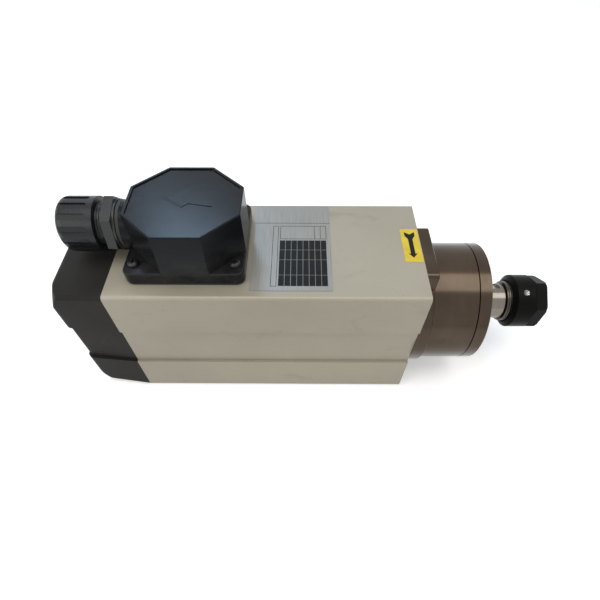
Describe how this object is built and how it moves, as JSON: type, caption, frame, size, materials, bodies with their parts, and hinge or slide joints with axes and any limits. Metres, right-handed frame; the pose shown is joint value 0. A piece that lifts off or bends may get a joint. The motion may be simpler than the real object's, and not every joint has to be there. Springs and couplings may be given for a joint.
{
  "type": "motor spindle",
  "caption": "Air-cooled square motor spindle with a round steel nose, collet and collet nut, rear fan cowl, and a terminal box with a cable gland.",
  "frame": {"origin": "centre of the flat back face of the motor body, the face that goes against the machine", "axes": "+X along the spindle axis towards the tool, +Z out of the back face towards the terminal box, +Y to the left seen from behind the cowl with the terminal box up"},
  "size_m": [0.3633, 0.0968, 0.1522],
  "materials": {
    "body_aluminium": "matte, grey-champagne anodised extrusion",
    "cowl_plastic": "matte black-brown moulding",
    "ground_steel": "ground, glossy",
    "shaft_steel": "ground, bright",
    "bearing_steel": "polished",
    "black_screw": "black oxide",
    "zinc_screw": "zinc plated",
    "lamination": "stacked electrical steel",
    "cast_aluminium": "as cast",
    "winding": "varnished copper wire",
    "fan_plastic": "matte",
    "black_oxide": "black oxide, semi-gloss",
    "rubber": "matte",
    "gland_rubber": "matte",
    "hood_plastic": "semi-gloss with fine grain",
    "block_plastic": "matte",
    "brass": "plain",
    "lead_sleeve": "matte",
    "gland_plastic": "semi-gloss"
  },
  "bodies": {
    "housing": {"motor_body": "body_aluminium", "rear_cowl": "cowl_plastic", "cowl_screws": "black_screw", "front_flange": "ground_steel", "flange_bolts": "black_screw", "nose_cap": "ground_steel", "cap_screws": "black_screw", "front_bearing_outer_race": "bearing_steel", "second_bearing_outer_race": "bearing_steel", "rear_bearing_outer_race": "bearing_steel", "outer_spacer": "shaft_steel", "stator_core": "lamination", "stator_windings": "winding", "rear_shield": "cast_aluminium", "shield_screws": "zinc_screw", "preload_spring": "shaft_steel", "terminal_gasket": "rubber", "terminal_hood": "hood_plastic", "hood_screws": "black_screw", "terminal_block": "block_plastic", "block_screws": "zinc_screw", "terminal_clamps": "brass", "earth_screw": "brass", "lead_grommet": "rubber", "motor_leads": "lead_sleeve", "gland_body": "gland_plastic", "gland_washer": "gland_rubber", "gland_locknut": "gland_plastic"},
    "rotor": {"shaft": "shaft_steel", "rotor_core": "lamination", "rotor_cage": "cast_aluminium", "front_bearing_inner_race": "bearing_steel", "second_bearing_inner_race": "bearing_steel", "rear_bearing_inner_race": "bearing_steel", "inner_spacer": "shaft_steel", "bearing_locknut": "shaft_steel", "slinger": "shaft_steel", "fan_impeller": "fan_plastic", "fan_screw": "zinc_screw"},
    "front_balls": {"front_bearing_balls": "bearing_steel"},
    "second_balls": {"second_bearing_balls": "bearing_steel"},
    "rear_balls": {"rear_bearing_balls": "bearing_steel"},
    "collet": {"collet": "shaft_steel"},
    "nut": {"collet_nut": "black_oxide", "extractor_ring": "shaft_steel"},
    "gland_insert": {"gland_seal": "gland_rubber"},
    "gland_nut": {"gland_dome_nut": "gland_plastic"}
  },
  "joints": [
    {"name": "spindle_spin", "type": "hinge", "parent": "housing", "child": "rotor", "pos_m": [0, 0, 0.0565], "axis": [1, 0, 0], "continuous": true},
    {"name": "front_balls_spin", "type": "hinge", "parent": "housing", "child": "front_balls", "pos_m": [0.14, 0, 0.0565], "axis": [1, 0, 0], "continuous": true},
    {"name": "second_balls_spin", "type": "hinge", "parent": "housing", "child": "second_balls", "pos_m": [0.122, 0, 0.0565], "axis": [1, 0, 0], "continuous": true},
    {"name": "rear_balls_spin", "type": "hinge", "parent": "housing", "child": "rear_balls", "pos_m": [-0.1008, 0, 0.0565], "axis": [1, 0, 0], "continuous": true},
    {"name": "nut_turn", "type": "hinge", "parent": "collet", "child": "nut", "pos_m": [0.2, 0, 0.0565], "axis": [1, 0, 0], "range_deg": [0, 2520]},
    {"name": "collet_draw", "type": "slide", "parent": "rotor", "child": "collet", "axis": [1, 0, 0], "range_m": [0, 0.0105]},
    {"name": "gland_nut_turn", "type": "hinge", "parent": "gland_insert", "child": "gland_nut", "pos_m": [-0.122, 0, 0.1331], "axis": [-1, 0, 0], "range_deg": [0, 1800]},
    {"name": "gland_insert_slide", "type": "slide", "parent": "housing", "child": "gland_insert", "axis": [-1, 0, 0], "range_m": [0, 0.0075]}
  ],
  "couplings": [
    {"joint": "front_balls_spin", "follows": "spindle_spin", "ratio": 0.4176},
    {"joint": "second_balls_spin", "follows": "spindle_spin", "ratio": 0.4176},
    {"joint": "rear_balls_spin", "follows": "spindle_spin", "ratio": 0.4032},
    {"joint": "collet_draw", "follows": "nut_turn", "m_per_rad": 0.00023873},
    {"joint": "gland_insert_slide", "follows": "gland_nut_turn", "m_per_rad": 0.00023873}
  ]
}
